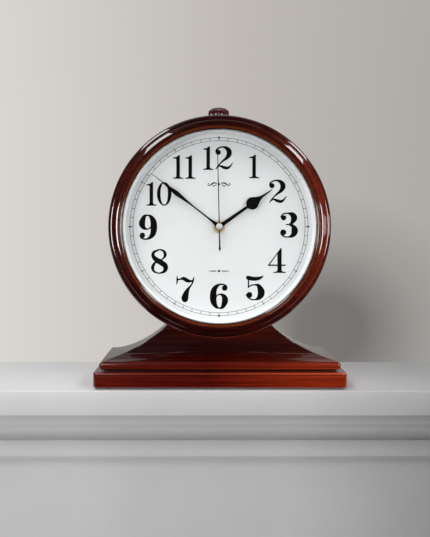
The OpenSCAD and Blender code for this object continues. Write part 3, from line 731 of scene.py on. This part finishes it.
def polygon_field(grid, corners):
    """Distance outside a polygon."""
    field = np.full(grid.shape[:2], FAR)
    inside = np.zeros(grid.shape[:2], bool)
    x, y = grid[..., 0], grid[..., 1]
    for (x0, y0), (x1, y1) in zip(corners, corners[1:] + corners[:1]):
        dx, dy = x1 - x0, y1 - y0
        t = np.clip(((x - x0) * dx + (y - y0) * dy) / (dx * dx + dy * dy), 0, 1)
        field = np.minimum(field, np.hypot(x - x0 - t * dx, y - y0 - t * dy))
        if dy:
            inside ^= ((y0 > y) != (y1 > y)) & (x < x0 + (y - y0) * dx / dy)
    return np.where(inside, -field, field)


def outlines(field, step, corner):
    """Closed outlines along which a sampled field changes sign."""
    inside = field < 0
    following = {}
    mixed = inside[:-1, :-1].astype(int) + inside[1:, :-1] + inside[1:, 1:] + inside[:-1, 1:]
    for i, j in zip(*np.nonzero((mixed > 0) & (mixed < 4))):
        around = [(i, j), (i + 1, j), (i + 1, j + 1), (i, j + 1)]
        edges = list(zip(around, around[1:] + around[:1]))
        leaving = [(a, b) for a, b in edges if inside[a] and not inside[b]]
        entering = [(b, a) for a, b in edges if inside[b] and not inside[a]]
        following.update(zip(leaving, entering))
    loops = []
    while following:
        edge = next(iter(following))
        loop = []
        while edge in following:
            a, b = edge
            t = field[a] / (field[a] - field[b])
            loop.append((corner[0] + step * (a[0] + t * (b[0] - a[0])),
                         corner[1] + step * (a[1] + t * (b[1] - a[1]))))
            edge = following.pop(edge)
        loops.append(loop)
    return loops


def simplified(loop, tolerance):
    """Leaves out the points of an outline that lie within a tolerance of the line past them."""
    def thin(part):
        start, end = np.array(part[0]), np.array(part[-1])
        if len(part) < 3:
            return part[:-1]
        along = end - start
        length = np.hypot(*along) or 1.0
        away = np.abs(np.cross(along, np.array(part) - start)) / length
        far = int(np.argmax(away))
        if away[far] < tolerance:
            return part[:1]
        return thin(part[:far + 1]) + thin(part[far:])
    middle = len(loop) // 2
    return thin(loop[:middle + 1]) + thin(loop[middle:] + loop[:1])


def print_mesh(loops):
    """A flat print with holes, from closed outlines in the plane of the dial, raised by the ink."""
    curve = bpy.data.curves.new("print", "CURVE")
    curve.dimensions = "2D"
    curve.fill_mode = "BOTH"
    curve.extrude = INK / 2
    for loop in loops:
        spline = curve.splines.new("POLY")
        spline.points.add(len(loop) - 1)
        for point, (x, y) in zip(spline.points, loop):
            point.co = (x, y, 0.0, 1.0)
        spline.use_cyclic_u = True
    holder = bpy.data.objects.new("print", curve)
    mesh_data = bpy.data.meshes.new_from_object(holder)
    bpy.data.objects.remove(holder)
    bpy.data.curves.remove(curve)
    for vertex in mesh_data.vertices:
        x, y, z = vertex.co
        vertex.co = (x, DIAL_FRONT - INK / 2 - z, HEAD_Z + y)
    return cleaned(mesh_data)


def print_piece(name, mesh_data):
    """Places a piece of the dial's black print."""
    piece(name, mesh_data, "black_enamel", sharp=60)


def digit(width, strokes=(), balls=(), polygons=()):
    """A digit one unit high: its strokes as (x, y, width), its balls as (x, y, radius), and its
    straight-sided parts as the corners of polygons."""
    return {"width": width, "strokes": strokes, "balls": balls, "polygons": polygons}


OVAL = [(0.30 - 0.235 * math.sin(a), 0.5 + 0.48 * math.cos(a), 0.04 + 0.10 * math.sin(a) ** 2)
        for a in map(math.radians, range(0, 361, 20))]
DIGITS = {
    "0": digit(0.6, strokes=[OVAL]),
    "1": digit(0.43, polygons=[
        [(0, 0), (0.43, 0), (0.43, 0.03), (0.33, 0.05), (0.28, 0.1), (0.28, 1.0), (0.24, 1.0),
         (0.15, 0.93), (0.0, 0.9), (0.0, 0.87), (0.1, 0.865), (0.14, 0.83), (0.14, 0.1),
         (0.1, 0.05), (0.0, 0.03)]]),
    "2": digit(0.75, balls=[(0.125, 0.75, 0.105)], strokes=[
        [(0.03, 0.77, 0.05), (0.06, 0.87, 0.05), (0.19, 0.95, 0.05), (0.33, 0.975, 0.06),
         (0.48, 0.925, 0.13), (0.58, 0.81, 0.2), (0.59, 0.67, 0.2), (0.5, 0.52, 0.13),
         (0.35, 0.4, 0.075), (0.21, 0.27, 0.05), (0.08, 0.125, 0.04)],
        [(0.02, 0.03, 0.03), (0.08, 0.1, 0.04), (0.21, 0.165, 0.06), (0.35, 0.105, 0.12),
         (0.52, 0.075, 0.11), (0.65, 0.165, 0.06), (0.74, 0.3, 0.015)]]),
    "3": digit(0.71, balls=[(0.136, 0.803, 0.1), (0.12, 0.21, 0.115)], strokes=[
        [(0.025, 0.83, 0.04), (0.09, 0.94, 0.04), (0.21, 0.98, 0.045), (0.33, 0.98, 0.06),
         (0.485, 0.93, 0.18), (0.56, 0.8, 0.24), (0.485, 0.62, 0.13), (0.38, 0.545, 0.05),
         (0.23, 0.525, 0.03)],
        [(0.365, 0.525, 0.05), (0.515, 0.455, 0.14), (0.585, 0.27, 0.255), (0.5, 0.09, 0.15),
         (0.33, 0.025, 0.05), (0.18, 0.035, 0.045), (0.06, 0.105, 0.045), (0.02, 0.2, 0.045)]]),
    "4": digit(0.71, polygons=[
        [(0.385, 0.03), (0.545, 0.03), (0.545, 1.0), (0.515, 1.0), (0.385, 0.8)],
        [(0.515, 1.0), (0.55, 1.0), (0.045, 0.31), (0.0, 0.31)],
        [(0.0, 0.285), (0.71, 0.285), (0.71, 0.33), (0.0, 0.33)],
        [(0.22, 0), (0.71, 0), (0.71, 0.03), (0.6, 0.045), (0.545, 0.09), (0.385, 0.09),
         (0.33, 0.045), (0.22, 0.03)]]),
    "5": digit(0.75, balls=[(0.136, 0.214, 0.114)], strokes=[
        [(0.08, 0.91, 0.155), (0.27, 0.87, 0.155), (0.46, 0.875, 0.14), (0.61, 0.92, 0.08),
         (0.7, 0.99, 0.02)],
        [(0.1, 0.97, 0.045), (0.0975, 0.745, 0.045), (0.095, 0.52, 0.045)],
        [(0.095, 0.53, 0.03), (0.2, 0.595, 0.045), (0.36, 0.625, 0.05), (0.51, 0.58, 0.14),
         (0.615, 0.335, 0.27), (0.56, 0.14, 0.2), (0.4, 0.03, 0.06), (0.2, 0.04, 0.045),
         (0.07, 0.125, 0.045), (0.015, 0.22, 0.045)]]),
    "6": digit(0.725, balls=[(0.59, 0.83, 0.105)], strokes=[
        [(0.685, 0.85, 0.04), (0.635, 0.94, 0.045), (0.51, 0.98, 0.05), (0.375, 0.97, 0.07),
         (0.24, 0.88, 0.15), (0.15, 0.725, 0.22), (0.125, 0.5, 0.255), (0.145, 0.27, 0.23),
         (0.24, 0.085, 0.13), (0.365, 0.02, 0.05), (0.51, 0.07, 0.13), (0.605, 0.33, 0.24),
         (0.545, 0.51, 0.15), (0.405, 0.58, 0.05), (0.3, 0.54, 0.04), (0.255, 0.48, 0.03)]]),
    "7": digit(0.72, balls=[(0.345, 0.14, 0.135)], strokes=[
        [(0.03, 1.0, 0.03), (0.035, 0.845, 0.06), (0.015, 0.69, 0.02)],
        [(0.06, 0.875, 0.05), (0.185, 0.9, 0.06), (0.29, 0.92, 0.13), (0.43, 0.845, 0.15),
         (0.555, 0.815, 0.09), (0.675, 0.83, 0.06)],
        [(0.715, 0.985, 0.015), (0.68, 0.86, 0.06), (0.67, 0.785, 0.05)],
        [(0.68, 0.8, 0.045), (0.615, 0.675, 0.05), (0.52, 0.555, 0.08), (0.43, 0.4, 0.16),
         (0.365, 0.215, 0.25), (0.345, 0.09, 0.25)]]),
    "8": digit(0.68, strokes=[
        [(0.325, 0.975, 0.045), (0.12, 0.87, 0.1), (0.09, 0.72, 0.13), (0.22, 0.57, 0.19),
         (0.4, 0.46, 0.21), (0.565, 0.34, 0.2), (0.595, 0.205, 0.17), (0.52, 0.085, 0.1),
         (0.325, 0.025, 0.045), (0.125, 0.1, 0.08), (0.07, 0.25, 0.12), (0.14, 0.415, 0.09),
         (0.26, 0.49, 0.05), (0.49, 0.615, 0.05), (0.575, 0.75, 0.11), (0.545, 0.885, 0.1),
         (0.445, 0.96, 0.06), (0.325, 0.975, 0.045)]]),
}


def half_turned(shape):
    """The same digit upside down."""
    width = shape["width"]

    def turned(points):
        return [(width - x, 1 - y, size) for x, y, size in points]

    return digit(width, [turned(stroke) for stroke in shape["strokes"]], turned(shape["balls"]))


DIGITS["9"] = half_turned(DIGITS["6"])

# Each numeral's centre and height on the dial, in millimetres
NUMERALS = {
    "1": (36.5, 62.4, 24.2), "2": (60.9, 36.5, 24.2), "3": (72.6, 1.5, 25.6),
    "4": (59.9, -35.0, 25.6), "5": (37.6, -63.4, 25.6), "6": (0.0, -72.1, 25.6),
    "7": (-35.0, -64.5, 25.6), "8": (-61.9, -36.0, 25.6), "9": (-73.6, -0.5, 25.6),
    "10": (-62.4, 34.0, 24.2), "11": (-36.0, 61.9, 24.2), "12": (-1.0, 71.1, 24.2),
}
DIGIT_GAP = {"10": 0.03, "11": 0.09, "12": 0.085}


def digit_field(grid, shape):
    """Distance outside a digit that is one unit high."""
    fields = [stroke_field(grid, stroke) for stroke in shape["strokes"]]
    fields += [polygon_field(grid, polygon) for polygon in shape["polygons"]]
    fields += [np.hypot(grid[..., 0] - x, grid[..., 1] - y) - r for x, y, r in shape["balls"]]
    return np.minimum.reduce(fields)


def make_numeral(text):
    """The print of one numeral, digit by digit."""
    x, y, height = (v * MM for v in NUMERALS[text])
    gap = DIGIT_GAP.get(text, 0.0)
    shapes = [DIGITS[d] for d in text]
    left = x - height * (sum(shape["width"] for shape in shapes) + gap * (len(text) - 1)) / 2
    step, margin, tolerance = SAMPLE / height, 0.05, 0.0007
    loops = []
    for shape in shapes:
        width = shape["width"]
        grid = sample_grid(np.arange(-margin, width + margin, step),
                           np.arange(-margin, 1 + margin, step))
        field = digit_field(grid, shape) - INK_SPREAD / height
        for loop in outlines(field, step, (-margin, -margin)):
            loops.append([(left + height * px, y + height * (py - 0.5))
                          for px, py in simplified(loop, tolerance)])
        left += height * (width + gap)
    print_piece("numeral_" + text, print_mesh(loops))


def make_minute_track():
    """A railway track of two fine circles with a bar at each minute and a diamond at each hour."""
    outer, inner = 92.3 * MM, 89.2 * MM
    half_line, half_bar = 0.20 * MM, 0.26 * MM
    back, front = DIAL_FRONT, DIAL_FRONT - INK
    points, faces = [], []

    def add(new_points, new_faces):
        first = len(points)
        points.extend(new_points)
        faces.extend(tuple(first + i for i in f) for f in new_faces)

    def prism(outline):
        """A flat mark given by its corners seen from the front."""
        n = len(outline)
        new_points = [(x, depth, HEAD_Z + z) for depth in (front, back) for x, z in outline]
        add(new_points, rows_of_faces(2, n) + [tuple(range(n)), tuple(range(n, 2 * n))])

    def radial(angle, marks):
        """Marks drawn at 12 as (across, along), turned clockwise to an angle."""
        a = math.radians(angle)
        prism([(x * math.cos(a) + z * math.sin(a), z * math.cos(a) - x * math.sin(a))
               for x, z in marks])

    for r in (outer, inner):
        add(*ring_of([(r - half_line, back), (r - half_line, front), (r + half_line, front),
                      (r + half_line, back)], 240))
    r0, r1 = inner + half_line, outer - half_line
    for minute in range(60):
        radial(minute * 6, [(-half_bar, r0), (half_bar, r0), (half_bar, r1), (-half_bar, r1)])
    for hour in range(12):
        quarter = hour % 3 == 0
        reach, half = (1.9 * MM, 1.1 * MM) if quarter else (1.5 * MM, 0.7 * MM)
        radial(hour * 30, [(0, outer - reach), (half, outer), (0, outer + reach), (-half, outer)])
    print_piece("minute_track", mesh_of(points, faces))


def make_ornament(name, height, strokes, lozenge):
    """A small printed device, mirrored about the dial's middle, at a height above its centre."""
    half_x, half_y, tolerance = 14 * MM, 4 * MM, 0.01 * MM
    grid = sample_grid(np.arange(-half_x, half_x, SAMPLE), np.arange(-half_y, half_y, SAMPLE))
    fields = [stroke_field(grid, [(side * x * MM, y * MM, width * MM) for x, y, width in stroke])
              for stroke in strokes for side in (-1, 1)]
    w, h = (v * MM for v in lozenge)
    fields.append(polygon_field(grid, [(0.0, h), (w, 0.0), (0.0, -h), (-w, 0.0)]))
    loops = [[(x, y + height) for x, y in simplified(loop, tolerance)]
             for loop in outlines(np.minimum.reduce(fields), SAMPLE, (-half_x, -half_y))]
    print_piece(name, print_mesh(loops))


for numeral in NUMERALS:
    make_numeral(numeral)
make_minute_track()
make_ornament("scroll_ornament", 44 * MM, [
    [(1.9, 0.0, 0.5), (3.6, 1.3, 1.1), (6.0, 1.2, 1.4), (8.4, -0.6, 1.2), (10.4, -1.3, 0.8),
     (11.6, -0.2, 0.65), (10.9, 0.8, 0.6), (10.0, 0.3, 0.5)],
    [(3.0, -0.6, 0.5), (5.0, -1.7, 1.0), (7.0, -1.9, 0.5)]], (1.1, 1.9))
make_ornament("rule_ornament", -46 * MM, [[(2.6, 0.0, 0.5), (5.0, 0.0, 1.1), (10.5, 0.0, 0.5)]],
              (1.7, 1.5))


# ---------------------------------------------------------------------------------------------
# Glass: the light passes straight through it to the dial
# ---------------------------------------------------------------------------------------------
frame["nodes"]["lens"].visible_shadow = False


# ---------------------------------------------------------------------------------------------
# Floor, light and camera
# ---------------------------------------------------------------------------------------------
def make_shelf():
    """A plain pale mantel shelf: its top, its front edge, and a cove and a face below."""
    f = Finish("pale_shelf", (0.74, 0.735, 0.74), 0.5)
    paint = f.ramp(f.noise(14.0, detail=3.0), (0.3, (0.91, 0.905, 0.915)),
                   (0.7, (0.95, 0.945, 0.955)))
    # Painted shade: the shelf is painted darker towards the right
    rightwards = f.spread(f.place("X"), -150 * MM, 220 * MM)
    painted_light_and_shade = f.ramp(rightwards, (0.0, 1.0), (0.25, 0.90), (0.6, 0.86), (1.0, 0.54))
    f.drive("Base Color", f.product(paint, painted_light_and_shade))
    f.drive("Roughness", f.ramp(f.noise(60.0), (0.3, 0.45), (0.7, 0.58)))
    f.bump(f.noise(900.0, detail=2.0), 0.05, 0.05 * MM)
    half, back, bottom = 1600 * MM, 78 * MM, -600 * MM
    edge = 1.0 * MM
    front, under = -44.5 * MM, -24.5 * MM
    cove_top, cove_y, cove_r = -35 * MM, -10 * MM, 24 * MM
    outline = [(back, bottom), (back, 0.0)]
    outline += arc((front + edge, -edge), edge, 90, 180, 4)
    outline += arc((front + edge, under + edge), edge, 180, 270, 4)
    outline += [(-40 * MM, under), (-38 * MM, -34 * MM), (cove_y - cove_r, cove_top)]
    outline += arc((cove_y, cove_top), cove_r, 180, 250, 10)
    outline += [(-18 * MM, -74 * MM), (-10 * MM, -75 * MM), (-8 * MM, bottom)]
    ends = [[(x, y, z) for y, z in outline] for x in (-half, half)]
    placed("shelf", mesh_of(*loft(ends)), f.material)


def make_world():
    """A room that is pale behind the clock and dark in front of it, and a warm grey wall that only
    the camera sees, painted lighter on the left and darker on the right, with the clock's soft shade
    painted low on the right."""
    world = bpy.data.worlds.new("room")
    bpy.context.scene.world = world
    n = Nodes(world)
    n.nodes.clear()
    toward = n.nodes.new("ShaderNodeTexCoord").outputs["Generated"]
    room = n.ramp(n.spread(n.axis(toward, "Y"), -1.0, 1.0), (0.25, (0.010, 0.009, 0.009)),
                  (0.50, (0.04, 0.038, 0.036)), (0.85, (0.36, 0.355, 0.34)))
    wall = n.ramp(n.spread(n.axis(toward, "X"), -0.35, 0.40), (0.0, (0.70, 0.67, 0.64)),
                  (0.55, (0.52, 0.49, 0.465)), (1.0, (0.42, 0.40, 0.38)))
    from_shade = n.distance(toward, Vector((0.235, 1.0, -0.17)).normalized())
    shade = n.ramp(n.spread(from_shade, 0.0, 0.3), (0.18, 0.40), (0.50, 0.78), (0.80, 1.0))
    choose = n.nodes.new("ShaderNodeMixShader")
    n.links.new(n.nodes.new("ShaderNodeLightPath").outputs["Is Camera Ray"], choose.inputs[0])
    for slot, color in ((1, room), (2, n.product(wall, shade))):
        background = n.nodes.new("ShaderNodeBackground")
        n.links.new(color, background.inputs["Color"])
        n.links.new(background.outputs[0], choose.inputs[slot])
    n.links.new(choose.outputs[0], n.nodes.new("ShaderNodeOutputWorld").inputs["Surface"])


INTO_ROOM, UPRIGHT = (0.0, 1.0, 0.0), (0.0, 0.0, 1.0)


def softbox(name, place, size, radiance, along=INTO_ROOM, mirrored=True):
    """A rectangular light aimed at the dial, whose second side lies along a direction. One that is
    not mirrored lights the scene without showing in its reflections."""
    light = bpy.data.lights.new(name, "AREA")
    light.shape = "RECTANGLE"
    light.size, light.size_y = size
    light.energy = radiance * math.pi * size[0] * size[1]
    back = (Vector(place) - Vector((0.0, 0.0, HEAD_Z))).normalized()
    up = (Vector(along) - Vector(along).dot(back) * back).normalized()
    lamp = bpy.data.objects.new(name, light)
    lamp.matrix_world = Matrix((up.cross(back), up, back)).transposed().to_4x4()
    lamp.location = place
    lamp.visible_transmission = False
    lamp.visible_glossy = mirrored
    bpy.context.scene.collection.objects.link(lamp)


def make_camera():
    """The photograph's view: level, a little left of the dial's centre and a little below it."""
    data = bpy.data.cameras.new("camera")
    data.lens = 36.95
    data.shift_x, data.shift_y = 0.0279, -0.0624
    camera = bpy.data.objects.new("camera", data)
    camera.location = (-0.0197, -0.580, 0.1517)
    camera.rotation_euler = (math.radians(90), 0.0, 0.0)
    bpy.context.scene.collection.objects.link(camera)
    bpy.context.scene.camera = camera


make_shelf()
make_world()
softbox("upper_left_window", (-0.63, -0.56, 1.09), (0.33, 0.9), 6.6)
softbox("upper_right_window", (0.81, -0.56, 0.92), (0.23, 0.9), 7.4)
softbox("right_window", (1.11, -0.56, 0.19), (0.20, 0.9), 2.2)
softbox("front_window", (0.72, -1.28, 0.17), (0.26, 0.31), 13.0, along=UPRIGHT)
softbox("left_window", (-0.68, -1.28, 0.17), (0.40, 0.31), 13.0, along=UPRIGHT)
softbox("front_fill", (-0.1, -1.5, 0.25), (1.4, 0.9), 0.3, mirrored=False)
softbox("overhead", (0.0, 0.1, 1.5), (1.2, 0.8), 0.3)
softbox("back_fill", (-0.7, 1.3, 1.2), (1.2, 0.9), 2.4, mirrored=False)
make_camera()
bpy.context.scene.view_settings.view_transform = "Standard"
